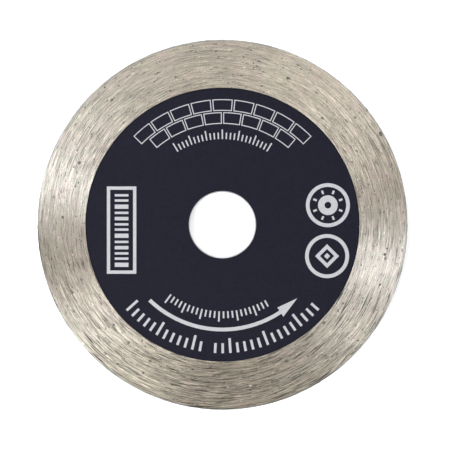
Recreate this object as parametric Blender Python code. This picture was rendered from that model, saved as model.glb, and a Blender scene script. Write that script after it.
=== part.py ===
"""Small diamond blade for cutting tile: a steel core with a plain bore, a ground
continuous diamond rim keyed onto the core's edge, a satin paint film on each
face, and flat printed marks on the front film.

Frame: origin at the centre of the bore, half way through the thickness.
+Z is the blade's axis and points out of the printed face.
"""

import math

import bmesh
import bpy
from mathutils import Vector

MM = 0.001

# Blade, in millimetres
OUTER_RADIUS = 27.0
BORE_RADIUS = 4.765
RIM_INNER_RADIUS = 20.0
RIM_THICKNESS = 1.5
RIM_CORNER = 0.12
RIM_INNER_CHAMFER = 0.05
CORE_THICKNESS = 1.0
BORE_CHAMFER = 0.12

# Keyed joint between the core and the rim
TONGUE_THICKNESS = 0.64
TOOTH_COUNT = 24
TOOTH_TIP_RADIUS = 23.4
TOOTH_ROOT_RADIUS = 22.1
JOINT_GAP = 0.015

# Paint films and printed marks
PAINT_THICKNESS = 0.05
FILM_GAP = 0.005
PAINT_INNER_RADIUS = 4.92
PAINT_OUTER_RADIUS = 19.98
INK_THICKNESS = 0.02

FRAME_CENTRE = (-14.725, -0.79)
FRAME_SIZE = (4.30, 12.74)
FRAME_LINE = 0.48
BADGE_RADIUS = 3.215
BADGE_LINE = 0.54
UPPER_BADGE_CENTRE = (15.38, 2.85)
LOWER_BADGE_CENTRE = (15.26, -4.58)
DISC_RADIUS = 1.45
DISC_LINE = 0.95
DIAMOND_RADIUS = 1.75
DIAMOND_LINE = 0.50
ARROW_RADIUS = 15.30
ARROW_LINE = 0.55
ARROW_TAIL_DEG = 226.0
ARROW_NECK_DEG = 303.5
ARROW_TIP_DEG = 315.5
ARROW_HEAD_HALF = 0.80

# Facets: the blade's count is a whole number for each tooth pitch
ROUND_STEPS = 144
BADGE_STEPS = 48
DISC_STEPS = 24
ARROW_STEPS = 26
SMOOTH_ANGLE = math.radians(40.0)

# Levels above the middle plane, in millimetres
CORE_HALF = CORE_THICKNESS / 2.0
RIM_HALF = RIM_THICKNESS / 2.0
TONGUE_HALF = TONGUE_THICKNESS / 2.0
FILM_LOW = CORE_HALF + FILM_GAP
FILM_HIGH = FILM_LOW + PAINT_THICKNESS
INK_LOW = FILM_HIGH + FILM_GAP

STEEL = (0.56, 0.57, 0.58)
RIM_METAL = (0.68, 0.64, 0.58)
PAINT = (0.021, 0.020, 0.032)
INK = (0.58, 0.57, 0.61)


def material(name, colour, metallic, roughness):
    made = bpy.data.materials.new(name)
    made.use_nodes = True
    shader = made.node_tree.nodes["Principled BSDF"]
    shader.inputs["Base Color"].default_value = (*colour, 1.0)
    shader.inputs["Metallic"].default_value = metallic
    shader.inputs["Roughness"].default_value = roughness
    made.diffuse_color = (*colour, 1.0)
    return made


def finish_object(name, bm, look, parent, location_mm=(0.0, 0.0, 0.0)):
    """The bmesh as a named object, shaded smooth where it is round."""
    mesh = bpy.data.meshes.new(name)
    bm.to_mesh(mesh)
    bm.free()
    mesh.materials.append(look)
    mesh.shade_smooth()
    mesh.set_sharp_from_angle(angle=SMOOTH_ANGLE)
    made = bpy.data.objects.new(name, mesh)
    bpy.context.scene.collection.objects.link(made)
    made.location = Vector(location_mm) * MM
    made.parent = parent
    return made


def turn(name, section, look, parent, keyed_radius=None):
    """Spins a closed section of (radius, z) points round the blade's axis.

    Where keyed_radius is given, every other half pitch of the ring of points at
    that radius is drawn in to the root, which leaves the teeth standing."""
    bm = bmesh.new()
    corners = [bm.verts.new(Vector((r, 0.0, z)) * MM) for r, z in section]
    sides = [
        bm.edges.new((corner, corners[(i + 1) % len(corners)]))
        for i, corner in enumerate(corners)
    ]
    bmesh.ops.spin(
        bm,
        geom=corners + sides,
        cent=(0.0, 0.0, 0.0),
        axis=(0.0, 0.0, 1.0),
        angle=2.0 * math.pi,
        steps=ROUND_STEPS,
        use_merge=True,
    )
    if keyed_radius is not None:
        pitch = ROUND_STEPS // TOOTH_COUNT
        drawn_in = (keyed_radius - TOOTH_TIP_RADIUS + TOOTH_ROOT_RADIUS) / keyed_radius
        for point in bm.verts:
            if abs(point.co.xy.length - keyed_radius * MM) > 1e-6:
                continue
            turned_by = math.atan2(point.co.y, point.co.x) / (2.0 * math.pi)
            step = round(turned_by * ROUND_STEPS) % ROUND_STEPS
            if step % pitch >= pitch // 2:
                point.co.xy *= drawn_in
    bmesh.ops.recalc_face_normals(bm, faces=bm.faces[:])
    return finish_object(name, bm, look, parent)


def thicken(mark):
    """Gives a flat printed sheet its thickness, upwards from where it lies."""
    solidify = mark.modifiers.new("ink_thickness", "SOLIDIFY")
    solidify.thickness = INK_THICKNESS * MM
    solidify.offset = 1.0
    return mark


def hollow(bm, line):
    """Leaves only a band of this width inside the outline of the sheet."""
    middle = bm.faces[:]
    bmesh.ops.inset_region(
        bm,
        faces=middle,
        thickness=line * MM,
        use_boundary=True,
        use_even_offset=True,
    )
    bmesh.ops.delete(bm, geom=middle, context="FACES_ONLY")


def rectangle_mark(name, centre, size, line, look, parent):
    """A printed rectangular outline with square corners."""
    bm = bmesh.new()
    bmesh.ops.create_grid(bm, x_segments=1, y_segments=1, size=0.5 * MM)
    bmesh.ops.scale(bm, verts=bm.verts[:], vec=(size[0], size[1], 1.0))
    hollow(bm, line)
    return thicken(finish_object(name, bm, look, parent, (*centre, INK_LOW)))


def polygon_mark(name, centre, radius, sides, line, look, parent):
    """A printed ring, or with four sides a printed diamond."""
    bm = bmesh.new()
    bmesh.ops.create_circle(bm, cap_ends=True, segments=sides, radius=radius * MM)
    hollow(bm, line)
    return thicken(finish_object(name, bm, look, parent, (*centre, INK_LOW)))


def around(radius, degrees):
    angle = math.radians(degrees)
    return Vector((radius * math.cos(angle), radius * math.sin(angle), 0.0)) * MM


def arrow_mark(name, look, parent):
    """The curved arrow for the direction of rotation, anticlockwise from the front."""
    bm = bmesh.new()
    inner = bm.verts.new(around(ARROW_RADIUS - ARROW_LINE / 2.0, ARROW_TAIL_DEG))
    outer = bm.verts.new(around(ARROW_RADIUS + ARROW_LINE / 2.0, ARROW_TAIL_DEG))
    tail = bm.edges.new((inner, outer))
    swept = bmesh.ops.spin(
        bm,
        geom=[inner, outer, tail],
        cent=(0.0, 0.0, 0.0),
        axis=(0.0, 0.0, 1.0),
        angle=math.radians(ARROW_NECK_DEG - ARROW_TAIL_DEG),
        steps=ARROW_STEPS,
    )
    neck = [item for item in swept["geom_last"] if isinstance(item, bmesh.types.BMVert)]
    neck.sort(key=lambda point: point.co.length)
    barb_in = bm.verts.new(around(ARROW_RADIUS - ARROW_HEAD_HALF, ARROW_NECK_DEG))
    barb_out = bm.verts.new(around(ARROW_RADIUS + ARROW_HEAD_HALF, ARROW_NECK_DEG))
    tip = bm.verts.new(around(ARROW_RADIUS, ARROW_TIP_DEG))
    across = [barb_in, neck[0], neck[1], barb_out]
    for near, far in zip(across, across[1:]):
        bm.faces.new((near, far, tip))
    bmesh.ops.recalc_face_normals(bm, faces=bm.faces[:])
    if bm.faces[:][0].normal.z < 0.0:
        bmesh.ops.reverse_faces(bm, faces=bm.faces[:])
    return thicken(finish_object(name, bm, look, parent, (0.0, 0.0, INK_LOW)))


for leftover in list(bpy.data.objects):
    bpy.data.objects.remove(leftover, do_unlink=True)

blade = bpy.data.objects.new("diamond_blade", None)
bpy.context.scene.collection.objects.link(blade)

# Steel core: bore with chamfered mouths, full thickness up to the rim, then a
# thinner toothed tongue that the rim grips
core_edge = RIM_INNER_RADIUS - JOINT_GAP
turn(
    "steel_core",
    [
        (TOOTH_TIP_RADIUS, -TONGUE_HALF),
        (TOOTH_TIP_RADIUS, TONGUE_HALF),
        (core_edge, TONGUE_HALF),
        (core_edge, CORE_HALF),
        (BORE_RADIUS + BORE_CHAMFER, CORE_HALF),
        (BORE_RADIUS, CORE_HALF - BORE_CHAMFER),
        (BORE_RADIUS, -CORE_HALF + BORE_CHAMFER),
        (BORE_RADIUS + BORE_CHAMFER, -CORE_HALF),
        (core_edge, -CORE_HALF),
        (core_edge, -TONGUE_HALF),
    ],
    material("core_steel", STEEL, 1.0, 0.35),
    blade,
    keyed_radius=TOOTH_TIP_RADIUS,
)

# Diamond rim: a U-shaped ring over the tongue, its outer corners rounded
groove_half = TONGUE_HALF + JOINT_GAP
groove_wall = TOOTH_TIP_RADIUS + JOINT_GAP
corner_middle = RIM_CORNER * math.sqrt(0.5)
turn(
    "diamond_rim",
    [
        (OUTER_RADIUS, RIM_HALF - RIM_CORNER),
        (
            OUTER_RADIUS - RIM_CORNER + corner_middle,
            RIM_HALF - RIM_CORNER + corner_middle,
        ),
        (OUTER_RADIUS - RIM_CORNER, RIM_HALF),
        (RIM_INNER_RADIUS + RIM_INNER_CHAMFER, RIM_HALF),
        (RIM_INNER_RADIUS, RIM_HALF - RIM_INNER_CHAMFER),
        (RIM_INNER_RADIUS, groove_half),
        (groove_wall, groove_half),
        (groove_wall, -groove_half),
        (RIM_INNER_RADIUS, -groove_half),
        (RIM_INNER_RADIUS, -RIM_HALF + RIM_INNER_CHAMFER),
        (RIM_INNER_RADIUS + RIM_INNER_CHAMFER, -RIM_HALF),
        (OUTER_RADIUS - RIM_CORNER, -RIM_HALF),
        (
            OUTER_RADIUS - RIM_CORNER + corner_middle,
            -RIM_HALF + RIM_CORNER - corner_middle,
        ),
        (OUTER_RADIUS, -RIM_HALF + RIM_CORNER),
    ],
    material("rim_metal", RIM_METAL, 1.0, 0.42),
    blade,
    keyed_radius=groove_wall,
)

# Paint films, one on each face of the core, from the bore's chamfer to the rim
for film_name, below, above in (
    ("front_paint", FILM_LOW, FILM_HIGH),
    ("back_paint", -FILM_HIGH, -FILM_LOW),
):
    turn(
        film_name,
        [
            (PAINT_OUTER_RADIUS, below),
            (PAINT_OUTER_RADIUS, above),
            (PAINT_INNER_RADIUS, above),
            (PAINT_INNER_RADIUS, below),
        ],
        material(film_name, PAINT, 0.0, 0.5),
        blade,
    )

# Printed marks on the front film
rectangle_mark(
    "label_frame",
    FRAME_CENTRE,
    FRAME_SIZE,
    FRAME_LINE,
    material("label_frame", INK, 0.0, 0.55),
    blade,
)
for mark_name, centre, radius, sides, line in (
    ("upper_badge_ring", UPPER_BADGE_CENTRE, BADGE_RADIUS, BADGE_STEPS, BADGE_LINE),
    ("upper_badge_disc", UPPER_BADGE_CENTRE, DISC_RADIUS, DISC_STEPS, DISC_LINE),
    ("lower_badge_ring", LOWER_BADGE_CENTRE, BADGE_RADIUS, BADGE_STEPS, BADGE_LINE),
    ("lower_badge_diamond", LOWER_BADGE_CENTRE, DIAMOND_RADIUS, 4, DIAMOND_LINE),
):
    polygon_mark(
        mark_name,
        centre,
        radius,
        sides,
        line,
        material(mark_name, INK, 0.0, 0.55),
        blade,
    )
arrow_mark("rotation_arrow", material("rotation_arrow", INK, 0.0, 0.55), blade)
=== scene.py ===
"""Looks for the small diamond blade: ground anisotropic rim with diamond grit,
satin dark paint, printed marks, bare steel bore, pale floor and soft light."""

import math
import random

import bmesh
import bpy
import numpy as np
from mathutils import Euler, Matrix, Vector


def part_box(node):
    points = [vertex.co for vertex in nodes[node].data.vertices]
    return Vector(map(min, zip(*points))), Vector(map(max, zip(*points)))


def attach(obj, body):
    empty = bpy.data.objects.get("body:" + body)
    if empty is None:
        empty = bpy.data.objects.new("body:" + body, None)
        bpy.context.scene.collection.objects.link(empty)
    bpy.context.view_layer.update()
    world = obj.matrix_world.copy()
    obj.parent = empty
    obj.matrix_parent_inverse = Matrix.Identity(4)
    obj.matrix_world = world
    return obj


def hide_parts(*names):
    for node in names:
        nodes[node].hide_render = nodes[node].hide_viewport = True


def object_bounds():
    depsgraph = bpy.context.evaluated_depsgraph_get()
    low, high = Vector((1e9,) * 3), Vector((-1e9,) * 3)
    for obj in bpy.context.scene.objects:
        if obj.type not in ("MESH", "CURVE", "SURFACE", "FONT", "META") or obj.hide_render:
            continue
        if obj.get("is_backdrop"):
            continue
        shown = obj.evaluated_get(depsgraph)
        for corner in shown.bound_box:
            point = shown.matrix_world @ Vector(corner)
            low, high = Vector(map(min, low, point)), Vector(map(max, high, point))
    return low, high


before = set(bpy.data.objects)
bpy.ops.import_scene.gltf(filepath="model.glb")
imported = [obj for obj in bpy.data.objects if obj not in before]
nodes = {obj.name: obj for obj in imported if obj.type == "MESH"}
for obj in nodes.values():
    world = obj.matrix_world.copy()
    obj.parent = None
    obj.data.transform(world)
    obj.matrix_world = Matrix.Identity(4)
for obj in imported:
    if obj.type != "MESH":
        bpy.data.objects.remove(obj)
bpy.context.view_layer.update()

MM = 0.001
SEED = 5409
BODY = "root"


def corners_mm(node):
    low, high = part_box(node)
    return Vector(low) / MM, Vector(high) / MM


_, rim_high = corners_mm("diamond_rim")
_, paint_high = corners_mm("front_paint")
ink_low, ink_high = corners_mm("label_frame")

RIM_OUT = rim_high.x
RIM_TOP = rim_high.z
RIM_IN = paint_high.x + 0.02
INK_Z0, INK_Z1 = ink_low.z, ink_high.z


# ---------------------------------------------------------------- node graphs


class Graph:
    """A material whose nodes are made by short calls."""

    def __init__(self, name):
        self.material = bpy.data.materials.new(name)
        self.material.use_nodes = True
        self.tree = self.material.node_tree
        self.tree.nodes.clear()
        self.shader = self.tree.nodes.new("ShaderNodeBsdfPrincipled")
        output = self.tree.nodes.new("ShaderNodeOutputMaterial")
        self.tree.links.new(self.shader.outputs[0], output.inputs[0])
        self._position = None

    def put(self, socket, value):
        if isinstance(value, bpy.types.NodeSocket):
            self.tree.links.new(value, socket)
        else:
            socket.default_value = value

    def add(self, kind, inputs=None, **settings):
        node = self.tree.nodes.new(kind)
        for key, value in settings.items():
            setattr(node, key, value)
        for key, value in (inputs or {}).items():
            self.put(node.inputs[key], value)
        return node

    def math(self, operation, a, b=None, c=None, clamp=False):
        node = self.add("ShaderNodeMath", operation=operation, use_clamp=clamp)
        for i, value in enumerate((a, b, c)):
            if value is not None:
                self.put(node.inputs[i], value)
        return node.outputs[0]

    def vec(self, operation, a, b=None):
        node = self.add("ShaderNodeVectorMath", operation=operation)
        self.put(node.inputs[0], a)
        if b is not None:
            self.put(node.inputs["Scale" if operation == "SCALE" else 1], b)
        return node.outputs["Value" if operation in ("LENGTH", "DOT_PRODUCT") else 0]

    def position(self):
        """The point on the object in millimetres."""
        if self._position is None:
            coords = self.add("ShaderNodeTexCoord")
            self._position = self.vec("SCALE", coords.outputs["Object"], 1.0 / MM)
        return self._position

    def split(self, vector):
        return self.add("ShaderNodeSeparateXYZ", {0: vector}).outputs

    def join(self, x, y, z):
        return self.add("ShaderNodeCombineXYZ", {0: x, 1: y, 2: z}).outputs[0]

    def noise(self, vector, scale, detail=2.0, roughness=0.5):
        node = self.add(
            "ShaderNodeTexNoise",
            {
                "Vector": vector,
                "Scale": scale,
                "Detail": detail,
                "Roughness": roughness,
            },
        )
        return node.outputs[0]

    def remap(self, value, low, high, to_low=0.0, to_high=1.0, smooth=False):
        node = self.add(
            "ShaderNodeMapRange",
            {
                "Value": value,
                "From Min": low,
                "From Max": high,
                "To Min": to_low,
                "To Max": to_high,
            },
            interpolation_type="SMOOTHSTEP" if smooth else "LINEAR",
            clamp=True,
        )
        return node.outputs[0]

    def mix(self, factor, a, b, blend="MIX"):
        node = self.add("ShaderNodeMix", data_type="RGBA", blend_type=blend)
        self.put(node.inputs[0], factor)
        self.put(node.inputs[6], a if not isinstance(a, tuple) else (*a, 1.0))
        self.put(node.inputs[7], b if not isinstance(b, tuple) else (*b, 1.0))
        return node.outputs[2]

    def away(self, centre):
        """The level vector from an axis at the centre to the point."""
        flat = self.vec("SUBTRACT", self.position(), (centre[0], centre[1], 0.0))
        x, y, _ = self.split(flat)
        return self.join(x, y, 0.0)

    def arcs(self, centre, along, across, seed, detail=2.0, roughness=0.55):
        """Noise drawn out into arcs about a centre near the axis.

        along and across are the size of a streak in millimetres. The angle is
        carried as a point on a circle, so the pattern closes on itself."""
        flat = self.away(centre)
        radius = self.vec("LENGTH", flat)
        around = self.vec("SCALE", self.vec("NORMALIZE", flat), 23.5 / along)
        around = self.split(around)
        depth = self.math("MULTIPLY_ADD", self.split(self.position())[2], 1.7, radius)
        depth = self.math("MULTIPLY_ADD", depth, 1.0 / across, seed * 17.3)
        return self.noise(
            self.join(around[0], around[1], depth), 1.0, detail, roughness
        )

    def bump(self, height, distance_mm, strength=1.0):
        """A height from 0 to 1, distance_mm tall, joined to the shader's normal."""
        node = self.add(
            "ShaderNodeBump",
            {"Height": height, "Distance": distance_mm * MM, "Strength": strength},
        )
        self.put(self.shader.inputs["Normal"], node.outputs[0])
        return node

    def blend_tangent(self, one, two, pick):
        """A tangent that lies across the brushing, which is about one of two axes."""
        node = self.add("ShaderNodeMix", data_type="VECTOR")
        self.put(node.inputs[0], pick)
        self.put(node.inputs[4], self.away(two))
        self.put(node.inputs[5], self.away(one))
        world = self.add(
            "ShaderNodeVectorTransform",
            {0: self.vec("NORMALIZE", node.outputs[1])},
            vector_type="VECTOR",
            convert_from="OBJECT",
            convert_to="WORLD",
        )
        return world.outputs[0]


def ground_rim_material(name="ground_rim", shade=1.0):
    """The ground face: families of arcs that cross, each with its own brushing."""
    g = Graph(name)
    one = g.arcs((1.2, -0.8), 6.0, 0.076, 1, 2.0, 0.6)
    two = g.arcs((-1.4, 0.5), 5.0, 0.076, 2, 2.0, 0.6)
    three = g.arcs((0.3, 1.3), 1.7, 0.072, 3, 1.0, 0.6)
    band = g.arcs((1.2, 0.8), 13.0, 0.50, 4, 1.0)
    deep = g.arcs((-1.8, -0.7), 3.8, 0.155, 5, 2.0)
    dash = g.arcs((0.8, 1.0), 1.1, 0.18, 6, 1.0)
    pit = g.arcs((0.0, 0.0), 0.62, 0.34, 7, 1.0)
    glint = g.arcs((0.3, 0.2), 0.55, 0.15, 8, 0.0)
    grain = g.noise(g.position(), 7.0, 1.0, 0.6)
    cloud = g.noise(g.position(), 0.30, 3.0, 0.6)
    where = g.noise(g.position(), 0.16, 1.0, 0.5)
    tint = g.noise(g.position(), 0.75, 2.0, 0.5)

    lines = g.math(
        "ADD",
        g.math("MULTIPLY", g.math("MAXIMUM", one, two), 0.62),
        g.math("MULTIPLY", three, 0.38),
    )
    up = g.split(g.position())[1]
    # A noise mask pushed towards the bottom of the face: where it is set, the face is darker
    # by a tenth and the cut streaks show in full.
    low_side = g.math("MULTIPLY", up, -0.012)
    lower_patches = g.remap(g.math("ADD", where, low_side), 0.38, 0.75)
    cut = g.math(
        "MULTIPLY", g.remap(deep, 0.53, 0.68, smooth=True), g.remap(lower_patches, 0.0, 1.0, 0.12, 1.0)
    )
    dark = g.remap(dash, 0.64, 0.75, smooth=True)
    # Pits: pressed in by the bump and made rougher, and darkened to 0.38 with a cool tint as
    # painted shade in the hollow.
    pit_and_painted_shade = g.remap(pit, 0.685, 0.78, smooth=True)
    # Painted highlight: tiny glints made 1.6 times brighter in the base colour.
    painted_glint = g.remap(glint, 0.75, 0.85, smooth=True)
    radius = g.vec("LENGTH", g.away((0.0, 0.0)))
    # Painted shade: the outer 0.2 mm of the face, on its rounded corner, is darkened to 0.74
    # and tinted cool grey-blue.
    edge = g.remap(g.math("MULTIPLY_ADD", three, 0.25, radius), 26.88, 27.08, smooth=True)

    # The streaks get more contrast towards the bottom of the face and in a band near y = 12
    # mm. This is painted highlight: the band, and the lower rise near y = -12 mm, sit where
    # the lamps' highlight fans fall.
    painted_fan_contrast = g.remap(g.math("ABSOLUTE", g.math("SUBTRACT", up, 12.0)), 0.0, 9.0, 0.55, 0.0)
    streak_contrast_by_height = g.math("ADD", g.remap(up, -23.0, -5.0, 1.36, 0.82), painted_fan_contrast)
    tone = g.remap(lines, 0.42, 0.70, 0.48 - 0.94, 1.40 - 0.94)
    tone = g.math("MULTIPLY", g.math("MULTIPLY_ADD", tone, streak_contrast_by_height, 0.94), shade)
    for value, low, high in (
        (g.remap(band, 0.3, 0.7), 0.94, 1.06),
        (g.remap(cloud, 0.3, 0.7), 0.93, 1.07),
        (g.remap(grain, 0.3, 0.7), 0.86, 1.14),
        (cut, 1.0, 0.22),
        (lower_patches, 1.0, 0.90),
        (edge, 1.0, 0.74),
        (dark, 1.0, 0.44),
        (pit_and_painted_shade, 1.0, 0.38),
        (painted_glint, 1.0, 1.60),
    ):
        tone = g.math("MULTIPLY", tone, g.remap(value, 0.0, 1.0, low, high))
    metal = g.mix(g.remap(tint, 0.35, 0.65), (0.720, 0.628, 0.545), (0.688, 0.635, 0.530))
    # Painted shade tint: the pits and the outer edge are pulled towards a cool grey-blue.
    painted_shade_tint = g.math("MULTIPLY", g.math("MAXIMUM", pit_and_painted_shade, edge), 0.5)
    metal = g.mix(painted_shade_tint, metal, (0.50, 0.55, 0.56))
    g.put(g.shader.inputs["Base Color"], g.vec("SCALE", metal, tone))
    g.put(g.shader.inputs["Metallic"], 1.0)
    rough = g.remap(lines, 0.42, 0.68, 0.55, 0.45)
    rough = g.math("MULTIPLY_ADD", g.math("MAXIMUM", dark, pit_and_painted_shade), 0.15, rough)
    g.put(g.shader.inputs["Roughness"], rough)
    g.put(g.shader.inputs["Anisotropic"], 0.88)
    pick = g.remap(g.math("SUBTRACT", one, two), -0.04, 0.04)
    g.put(g.shader.inputs["Tangent"], g.blend_tangent((3.2, -2.2), (-3.4, 1.6), pick))
    height = g.math("SUBTRACT", lines, g.math("MULTIPLY", cut, 0.5))
    height = g.math("SUBTRACT", height, g.math("MULTIPLY", pit_and_painted_shade, 0.8))
    g.bump(height, 0.018, 0.8)
    return g.material


def paint_material(name):
    g = Graph(name)
    mottle = g.noise(g.position(), 1.3, 3.0, 0.55)
    speck = g.noise(g.position(), 9.0, 2.0, 0.6)
    peel = g.noise(g.position(), 3.2, 2.0, 0.5)
    colour = g.mix(
        g.remap(mottle, 0.3, 0.7), (0.0056, 0.0052, 0.0118), (0.0068, 0.0064, 0.0142)
    )
    tone = g.remap(g.noise(g.position(), 4.5, 2.0, 0.7), 0.3, 0.7, 0.72, 1.28)
    g.put(g.shader.inputs["Base Color"], g.vec("SCALE", colour, tone))
    g.put(g.shader.inputs["Roughness"], g.remap(speck, 0.3, 0.7, 0.50, 0.58))
    g.shader.inputs["Specular IOR Level"].default_value = 0.15
    g.bump(
        g.math("ADD", g.math("MULTIPLY", peel, 0.7), g.math("MULTIPLY", speck, 0.3)),
        0.004,
        0.6,
    )
    return g.material


def ink_material():
    g = Graph("printed_ink")
    mottle = g.noise(g.position(), 2.4, 3.0, 0.6)
    speck = g.noise(g.position(), 14.0, 2.0, 0.6)
    colour = g.mix(
        g.remap(mottle, 0.3, 0.7), (0.362, 0.350, 0.362), (0.412, 0.400, 0.412)
    )
    g.put(
        g.shader.inputs["Base Color"],
        g.vec("SCALE", colour, g.remap(speck, 0.3, 0.7, 0.94, 1.05)),
    )
    g.put(g.shader.inputs["Roughness"], g.remap(speck, 0.3, 0.7, 0.50, 0.62))
    g.bump(speck, 0.003, 0.6)
    return g.material


def core_material():
    """Turned bare steel, seen in the bore and on its chamfers."""
    g = Graph("core_steel")
    x, y, z = g.split(g.position())
    radius = g.vec("LENGTH", g.join(x, y, 0.0))
    turned = g.noise(
        g.join(
            g.math("MULTIPLY", g.math("DIVIDE", x, radius), 1.5),
            g.math("MULTIPLY", g.math("DIVIDE", y, radius), 1.5),
            g.math("MULTIPLY", g.math("ADD", radius, z), 16.0),
        ),
        1.0,
        3.0,
        0.6,
    )
    cloud = g.noise(g.position(), 0.8, 3.0, 0.6)
    colour = g.mix(
        g.remap(cloud, 0.3, 0.7), (0.52, 0.53, 0.55), (0.62, 0.62, 0.62)
    )
    g.put(
        g.shader.inputs["Base Color"],
        g.vec("SCALE", colour, g.remap(turned, 0.3, 0.7, 0.85, 1.1)),
    )
    g.put(g.shader.inputs["Metallic"], 1.0)
    g.put(g.shader.inputs["Roughness"], g.remap(turned, 0.3, 0.7, 0.28, 0.42))
    g.bump(turned, 0.006, 0.7)
    return g.material


def grit_material():
    """Diamond grains: dark yellow-green glassy crystals."""
    g = Graph("diamond_grit")
    patch = g.noise(g.position(), 1.9, 2.0, 0.5)
    fine = g.noise(g.position(), 22.0, 2.0, 0.6)
    grain = g.noise(g.position(), 0.55, 0.0, 0.5)
    colour = g.mix(
        g.remap(patch, 0.35, 0.65), (0.060, 0.052, 0.042), (0.150, 0.135, 0.108)
    )
    colour = g.mix(g.remap(grain, 0.44, 0.66), colour, (0.330, 0.295, 0.240))
    g.put(
        g.shader.inputs["Base Color"],
        g.vec("SCALE", colour, g.remap(fine, 0.3, 0.7, 0.7, 1.3)),
    )
    g.put(g.shader.inputs["Roughness"], g.remap(fine, 0.3, 0.7, 0.30, 0.55))
    g.bump(fine, 0.008, 0.6)
    return g.material


# ------------------------------------------------------------------- geometry


def add_mesh(name, points_mm, faces, look):
    mesh = bpy.data.meshes.new(name)
    mesh.from_pydata((np.asarray(points_mm, float) * MM).tolist(), [], faces)
    mesh.validate()
    mesh.update()
    made = bpy.data.objects.new(name, mesh)
    bpy.context.scene.collection.objects.link(made)
    mesh.materials.append(look)
    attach(made, BODY)
    return made


class Print:
    """Flat printed shapes, each a closed slab as thick as the CAD marks."""

    def __init__(self):
        self.points = []
        self.faces = []

    def slab(self, outline, top_faces):
        base = len(self.points)
        count = len(outline)
        self.points += [(x, y, INK_Z1) for x, y in outline]
        self.points += [(x, y, INK_Z0) for x, y in outline]
        self.faces += [tuple(base + i for i in face) for face in top_faces]
        self.faces += [
            tuple(base + count + i for i in reversed(face)) for face in top_faces
        ]
        edges = set()
        for face in top_faces:
            edges.update(zip(face, list(face[1:]) + [face[0]]))
        for a, b in sorted(edges):
            if (b, a) not in edges:
                self.faces.append((base + a, base + count + a, base + count + b, base + b))

    def polygon(self, outline):
        self.slab(outline, [list(range(len(outline)))])

    def band(self, outer, inner):
        """A closed band between two loops with the same number of points."""
        n = len(outer)
        faces = [[i, (i + 1) % n, n + (i + 1) % n, n + i] for i in range(n)]
        self.slab(list(outer) + list(inner), faces)

    def tick(self, r0, r1, degrees, width):
        a = math.radians(degrees)
        out, side = (math.cos(a), math.sin(a)), (-math.sin(a), math.cos(a))
        self.polygon(
            [
                (out[0] * r + side[0] * s, out[1] * r + side[1] * s)
                for r, s in (
                    (r0, -width / 2),
                    (r1, -width / 2),
                    (r1, width / 2),
                    (r0, width / 2),
                )
            ]
        )

    def sector(self, r0, r1, a0, a1, line, steps=8):
        """The outline of a tile bent round the axis."""

        def loop(inset):
            low, high = r0 + inset, r1 - inset
            points = []
            for k in range(steps + 1):
                t = k / steps
                a = math.radians(a0 + (a1 - a0) * t)
                shift = inset * (1 - 2 * t) / low
                points.append((low * math.cos(a + shift), low * math.sin(a + shift)))
            for k in range(steps + 1):
                t = 1 - k / steps
                a = math.radians(a0 + (a1 - a0) * t)
                shift = inset * (1 - 2 * t) / high
                points.append((high * math.cos(a + shift), high * math.sin(a + shift)))
            return points[::-1]

        self.band(loop(0.0), loop(line))

    def make(self, name, look):
        made = add_mesh(name, self.points, self.faces, look)
        bm = bmesh.new()
        bm.from_mesh(made.data)
        bmesh.ops.recalc_face_normals(bm, faces=bm.faces[:])
        bm.to_mesh(made.data)
        bm.free()
        return made


def tile_band(look):
    """Two courses of outlined bricks round the top of the face."""
    marks = Print()
    for r0, r1, start, count, pitch in (
        (14.72, 16.42, 49.0, 8, 10.25),
        (16.62, 18.32, 44.4, 9, 10.13),
    ):
        for k in range(count):
            a0 = start + pitch * k
            marks.sector(r0, r1, a0 + 0.38, a0 + pitch - 0.38, 0.135)
    return marks.make("print_brick_band", look)


def caption_scale(look):
    """A fine scale under the tiles."""
    marks = Print()
    for k in range(25):
        degrees = 58.9 + k * 2.6
        tall = 1.40 if k % 4 == 0 else 0.95
        marks.tick(12.5, 12.5 + tall, degrees, 0.20)
    return marks.make("print_caption_scale", look)


def label_bars(look):
    """A column of bars inside the printed frame."""
    low, high = corners_mm("label_frame")
    cx = (low.x + high.x) / 2
    marks = Print()
    y, k = low.y + 1.0, 0
    widths = (0.62, 0.34, 0.34, 0.50, 0.34)
    while y < high.y - 1.0:
        w = widths[k % len(widths)]
        marks.polygon([(cx - 1.0, y), (cx + 1.0, y), (cx + 1.0, y + w), (cx - 1.0, y + w)])
        y += w + 0.42
        k += 1
    return marks.make("print_label_bars", look)


def lower_scales(look):
    """The two graduated arcs on either side of the arrow."""
    inner = Print()
    for k in range(24):
        tall = 1.50 if k % 4 == 0 else 1.0
        inner.tick(12.65, 12.65 + tall, 233.6 + k * 2.85, 0.24)
    outer = Print()
    k = 0
    degrees = 221.8
    while degrees < 320.0:
        if not 260.0 < degrees < 265.0:
            tall = 2.15 if k % 5 == 0 else 1.45
            outer.tick(18.75 - tall, 18.75, degrees, 0.37)
        degrees += 3.45
        k += 1
    return [
        inner.make("print_inner_scale", look),
        outer.make("print_outer_scale", look),
    ]


def badge_marks(look):
    marks = Print()
    low, high = corners_mm("upper_badge_ring")
    cx, cy = (low.x + high.x) / 2, (low.y + high.y) / 2
    for k in range(8):
        a = math.pi * (k + 0.5) / 4
        out, side = (math.cos(a), math.sin(a)), (-math.sin(a), math.cos(a))
        marks.polygon(
            [
                (cx + out[0] * r + side[0] * s, cy + out[1] * r + side[1] * s)
                for r, s in ((1.75, -0.15), (2.3, -0.15), (2.3, 0.15), (1.75, 0.15))
            ]
        )
    low, high = corners_mm("lower_badge_ring")
    cx, cy = (low.x + high.x) / 2, (low.y + high.y) / 2
    marks.polygon([(cx + 0.45, cy), (cx, cy + 0.45), (cx - 0.45, cy), (cx, cy - 0.45)])
    return marks.make("print_badge_marks", look)


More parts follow.
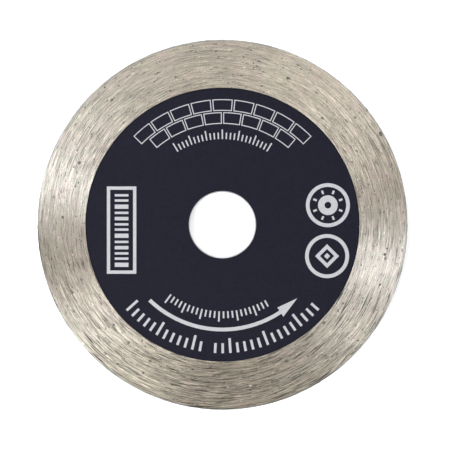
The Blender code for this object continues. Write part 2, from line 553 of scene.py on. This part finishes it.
def crystal(rng, size):
    """A blocky diamond grain: a cube with its corners cut, a little uneven."""
    points = []
    cut = rng.uniform(0.35, 0.6)
    for axis in range(3):
        for sign in (-1, 1):
            for u, v in ((1 - cut, 0), (0, 1 - cut), (cut - 1, 0), (0, cut - 1)):
                p = [0.0, 0.0, 0.0]
                p[axis] = sign
                p[(axis + 1) % 3] = u
                p[(axis + 2) % 3] = v
                points.append(p)
    points = np.array(points) * (size / 2) * np.array(
        [rng.uniform(0.8, 1.15) for _ in range(3)]
    )
    turn = Euler([rng.uniform(0, 6.283) for _ in range(3)]).to_matrix()
    return points @ np.array(turn).T


def hull_of(points):
    bm = bmesh.new()
    for p in points:
        bm.verts.new(p)
    found = bmesh.ops.convex_hull(bm, input=bm.verts[:])
    loose = [v for v in bm.verts if not v.link_faces]
    bmesh.ops.delete(bm, geom=loose, context="VERTS")
    bm.verts.index_update()
    out = (
        [tuple(v.co) for v in bm.verts],
        [tuple(v.index for v in f.verts) for f in bm.faces],
    )
    bm.free()
    return out


def grit(name, places, look, rng):
    """Grains set in the metal, their tops ground to flats that stand a little proud.

    A place is a point on the surface, the way out of the surface and a size."""
    points, faces = [], []
    for point, out, size in places:
        point, out = np.array(point), np.array(out)
        along = np.array((-point[1], point[0], 0.0)) / math.hypot(point[0], point[1])
        body = crystal(rng, size * 0.9)
        body = body + np.outer(body @ along, along) * rng.uniform(0.0, 0.7)
        depth = body @ out - size * rng.uniform(0.02, 0.14)
        proud = rng.uniform(0.018, 0.055)
        lean = np.array([rng.gauss(0, 0.035) for _ in range(3)])
        top = proud + body @ lean
        body = body + np.outer(np.minimum(depth, top) - body @ out, out)
        verts, hull = hull_of(body + point)
        base = len(points)
        points += verts
        faces += [tuple(base + i for i in face) for face in hull]
    return add_mesh(name, points, faces, look)


def grain_size(rng, middle):
    return min(0.50, max(0.12, rng.lognormvariate(math.log(middle), 0.42)))


def face_places(rng, count, side):
    places = []
    for _ in range(count):
        r = math.sqrt(rng.uniform(20.45**2, 26.62**2))
        a = rng.uniform(0, 2 * math.pi)
        point = (r * math.cos(a), r * math.sin(a), side * RIM_TOP)
        places.append((point, (0.0, 0.0, side), grain_size(rng, 0.25)))
    return places


def edge_places(rng, count):
    places = []
    for _ in range(count):
        a = rng.uniform(0, 2 * math.pi)
        out = (math.cos(a), math.sin(a), 0.0)
        z = rng.uniform(-0.56, 0.56)
        point = (RIM_OUT * out[0], RIM_OUT * out[1], z)
        places.append((point, out, grain_size(rng, 0.24)))
    return places


def tails(name, places, look, rng):
    """The low ridge of metal that wears in behind each large grain.

    It trails the grain, so it runs clockwise seen from the front."""
    points, faces = [], []
    across = (-1.0, -0.62, 0.0, 0.62, 1.0)
    stations, ring = 9, 7
    for (x, y, _), (_, _, side), size in places:
        if size < 0.25 or rng.random() < 0.2:
            continue
        r, start = math.hypot(x, y), math.atan2(y, x)
        length = size * rng.uniform(1.4, 3.8)
        width = size * rng.uniform(0.55, 0.80)
        tall = rng.uniform(0.030, 0.055)
        drift = rng.uniform(-0.10, 0.10)
        base = len(points)
        for i in range(stations):
            t = i / (stations - 1)
            a = start - (t * length) / r
            fade = (1 - t) ** 1.3
            half = width / 2 * (0.12 + 0.88 * (1 - t) ** 0.8)
            loop = [(u, tall * fade * (1 - u * u) - 0.012) for u in across]
            loop += [(1.0, -0.045), (-1.0, -0.045)]
            for u, rise in loop:
                rr = r + drift * t * length + u * half
                points.append(
                    (rr * math.cos(a), rr * math.sin(a), side * (RIM_TOP + rise))
                )
        for i in range(stations - 1):
            for j in range(ring):
                k = (j + 1) % ring
                p, q = base + i * ring, base + (i + 1) * ring
                faces.append((p + j, p + k, q + k, q + j))
        faces.append(tuple(base + j for j in reversed(range(ring))))
        faces.append(tuple(base + (stations - 1) * ring + j for j in range(ring)))
    made = add_mesh(name, points, faces, look)
    outward(made)
    made.data.shade_smooth()
    made.data.set_sharp_from_angle(angle=math.radians(50))
    return made


def outward(made):
    bm = bmesh.new()
    bm.from_mesh(made.data)
    bmesh.ops.recalc_face_normals(bm, faces=bm.faces[:])
    bm.to_mesh(made.data)
    bm.free()


def rim_body(look, rng):
    """The rim, turned at 576 steps, with rounded corners and a ground surface
    that wanders by a few thousandths of a millimetre. It keeps the groove that
    takes the edge of the steel core."""
    inner, groove, groove_half = RIM_IN, 23.43, 0.335
    corner = 0.13
    profile = [(groove, -groove_half, 0), (groove, groove_half, 0)]
    profile += [(inner, groove_half, 0), (inner, RIM_TOP - 0.05, 0)]
    profile += [(inner + 0.05, RIM_TOP, 0)]
    face = np.linspace(inner + 0.12, RIM_OUT - corner - 0.03, 34)
    profile += [(r, RIM_TOP, 1) for r in face]
    bend = [math.radians(90 - 15 * k) for k in range(7)]
    profile += [
        (
            RIM_OUT - corner + corner * math.cos(t),
            RIM_TOP - corner + corner * math.sin(t),
            0,
        )
        for t in bend
    ]
    wall = np.linspace(RIM_TOP - corner - 0.07, -(RIM_TOP - corner - 0.07), 9)
    profile += [(RIM_OUT, z, 2) for z in wall]
    profile += [
        (
            RIM_OUT - corner + corner * math.cos(t),
            -(RIM_TOP - corner + corner * math.sin(t)),
            0,
        )
        for t in reversed(bend)
    ]
    profile += [(r, -RIM_TOP, 3) for r in reversed(face)]
    profile += [(inner + 0.05, -RIM_TOP, 0), (inner, -RIM_TOP + 0.05, 0)]
    profile += [(inner, -groove_half, 0)]
    steps, rows = 576, len(profile)
    theta = np.arange(steps) * 2 * math.pi / steps
    R = np.array([p[0] for p in profile])[None, :] * np.ones((steps, 1))
    Z = np.array([p[1] for p in profile])[None, :] * np.ones((steps, 1))
    kind = np.array([p[2] for p in profile])
    T = theta[:, None] * np.ones((1, rows))

    def wander(flip):
        x, y = R * np.cos(T), R * np.sin(T)
        total = np.zeros_like(R)
        for _ in range(26):
            cx, cy = rng.uniform(-2.5, 2.5), rng.uniform(-2.5, 2.5)
            pitch = rng.uniform(0.55, 1.6)
            slow = rng.randrange(2, 14)
            wave = np.sin(2 * math.pi * np.hypot(x - cx, y - cy) / pitch + flip)
            total += 0.0011 * wave * np.cos(slow * T + rng.uniform(0, 6.283))
        for _ in range(18):
            slow = rng.randrange(18, 70)
            across = rng.uniform(0.3, 1.6)
            total += 0.0009 * np.cos(
                slow * T + R * across + rng.uniform(0, 6.283)
            )
        return total

    Z = Z + np.where(kind == 1, wander(0.0), 0.0) - np.where(kind == 3, wander(1.0), 0.0)
    R = R + np.where(kind == 2, np.minimum(wander(2.0), 0.0), 0.0)
    Z = np.clip(Z, -RIM_TOP, RIM_TOP)
    points = np.stack([R * np.cos(T), R * np.sin(T), Z], -1).reshape(-1, 3)
    faces = []
    for i in range(steps):
        n = (i + 1) % steps
        for j in range(rows):
            k = (j + 1) % rows
            faces.append(
                (i * rows + j, n * rows + j, n * rows + k, i * rows + k)
            )
    made = add_mesh("rim_ground_body", points, faces, look)
    outward(made)
    made.data.shade_smooth()
    made.data.set_sharp_from_angle(angle=math.radians(35))
    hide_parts("diamond_rim")
    return made


# ----------------------------------------------------------------- the object

rim_look = ground_rim_material()
tail_look = ground_rim_material("grain_tails", 0.68)
core_look = core_material()
ink_look = ink_material()
grit_look = grit_material()


def assign(node, look):
    for material_slot in nodes[node].material_slots:
        material_slot.material = look


assign("diamond_rim", rim_look)
assign("steel_core", core_look)
assign("front_paint", paint_material("front_paint_film"))
assign("back_paint", paint_material("back_paint_film"))
for mark in (
    "label_frame",
    "upper_badge_ring",
    "upper_badge_disc",
    "lower_badge_ring",
    "lower_badge_diamond",
    "rotation_arrow",
):
    assign(mark, ink_look)

tile_band(ink_look)
caption_scale(ink_look)
label_bars(ink_look)
lower_scales(ink_look)
badge_marks(ink_look)

rng = random.Random(SEED)
rim_body(rim_look, rng)
front_places = face_places(rng, 150, 1.0)
back_places = face_places(rng, 150, -1.0)
grit("rim_grit_front", front_places, grit_look, rng)
grit("rim_grit_back", back_places, grit_look, rng)
grit("rim_grit_edge", edge_places(rng, 240), grit_look, rng)
tails("rim_tails_front", front_places, tail_look, rng)
tails("rim_tails_back", back_places, tail_look, rng)


# ---------------------------------------------------------------------- stage


def stage_look(name, glow):
    look = bpy.data.materials.new(name)
    look.use_nodes = True
    shader = look.node_tree.nodes["Principled BSDF"]
    shader.inputs["Base Color"].default_value = (0.92, 0.92, 0.92, 1.0)
    shader.inputs["Roughness"].default_value = 0.9
    shader.inputs["Emission Color"].default_value = (1.0, 1.0, 1.0, 1.0)
    shader.inputs["Emission Strength"].default_value = glow
    return look


def studio():
    """A round white floor that curves up into a low wall, lit from within a
    little so that it stays white behind the blade from every side."""
    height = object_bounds()[0][2] - 0.002 * MM
    flat, cove, top, steps = 0.46, 0.12, 0.30, 96
    for name, rings, glow in (
        ("floor", [(0.0, 0.0), (0.1, 0.0), (flat, 0.0)], 0.22),
        (
            "backdrop",
            [
                (flat + cove * math.sin(t), cove * (1 - math.cos(t)))
                for t in (math.radians(9 * k) for k in range(11))
            ]
            + [(flat + cove, top)],
            0.30,
        ),
    ):
        points, faces = [], []
        for r, z in rings:
            for k in range(steps):
                a = 2 * math.pi * k / steps
                points.append((r * math.cos(a), r * math.sin(a), z + height))
        for i in range(len(rings) - 1):
            for k in range(steps):
                n = (k + 1) % steps
                p, q = i * steps, (i + 1) * steps
                faces.append((p + k, q + k, q + n, p + n))
        bm = bmesh.new()
        verts = [bm.verts.new(p) for p in points]
        for face in faces:
            bm.faces.new([verts[i] for i in face])
        bmesh.ops.remove_doubles(bm, verts=bm.verts[:], dist=1e-6)
        mesh = bpy.data.meshes.new(name)
        bm.to_mesh(mesh)
        bm.free()
        mesh.shade_smooth()
        made = bpy.data.objects.new(name, mesh)
        bpy.context.scene.collection.objects.link(made)
        mesh.materials.append(stage_look(name, glow))
        made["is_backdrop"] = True


def area_light(name, azimuth, elevation, distance, width, height, watts, colour):
    """A rectangular lamp aimed at the blade. Azimuth is anticlockwise from +X."""
    lamp = bpy.data.lights.new(name, "AREA")
    lamp.shape = "RECTANGLE"
    lamp.size, lamp.size_y = width, height
    lamp.energy = watts
    lamp.color = colour
    made = bpy.data.objects.new(name, lamp)
    bpy.context.scene.collection.objects.link(made)
    a, e = math.radians(azimuth), math.radians(elevation)
    away = Vector((math.cos(a) * math.cos(e), math.sin(a) * math.cos(e), math.sin(e)))
    made.location = away * distance
    made.rotation_mode = "QUATERNION"
    made.rotation_quaternion = (-away).to_track_quat("-Z", "Y")
    return made


studio()
for name, azimuth, elevation, distance, width, height, watts in (
    ("key", 163, 40, 0.22, 0.025, 0.08, (0.137, 0.150, 0.168)),
    ("second", 216, 40, 0.22, 0.025, 0.08, (0.192, 0.206, 0.221)),
    ("right", 348, 40, 0.24, 0.03, 0.08, (0.134, 0.150, 0.173)),
    ("lower_right", 320, 40, 0.26, 0.05, 0.08, (0.077, 0.086, 0.088)),
    ("lower_left", 240, 40, 0.26, 0.05, 0.08, (0.144, 0.153, 0.152)),
    ("upper_left", 140, 40, 0.26, 0.05, 0.08, (0.090, 0.098, 0.111)),
    ("upper", 120, 40, 0.26, 0.05, 0.08, (0.046, 0.052, 0.055)),
    ("far_right", 40, 40, 0.26, 0.03, 0.08, (0.022, 0.021, 0.021)),
    ("top", 90, 25, 0.12, 0.12, 0.04, (0.052, 0.057, 0.062)),
):
    power = max(watts)
    tint = tuple(w / power for w in watts)
    area_light(name, azimuth, elevation, distance, width, height, power, tint)

world = bpy.data.worlds.new("studio")
world.use_nodes = True
background = world.node_tree.nodes["Background"]
background.inputs["Color"].default_value = (1.0, 0.890, 0.760, 1.0)
background.inputs["Strength"].default_value = 0.405
bpy.context.scene.world = world

camera_data = bpy.data.cameras.new("camera")
camera_data.lens = 160.0
camera_data.sensor_width = 36.0
camera_data.clip_start = 0.005
camera_data.clip_end = 5.0
camera = bpy.data.objects.new("camera", camera_data)
bpy.context.scene.collection.objects.link(camera)
BLADE_PX, FRAME_PX = 185.13, 450.0
across_mm = FRAME_PX * RIM_OUT / BLADE_PX
camera.location = (
    0.365 * MM,
    -0.044 * MM,
    RIM_TOP * MM + across_mm * MM * camera_data.lens / camera_data.sensor_width,
)
bpy.context.scene.camera = camera
bpy.context.scene.view_settings.view_transform = "Standard"
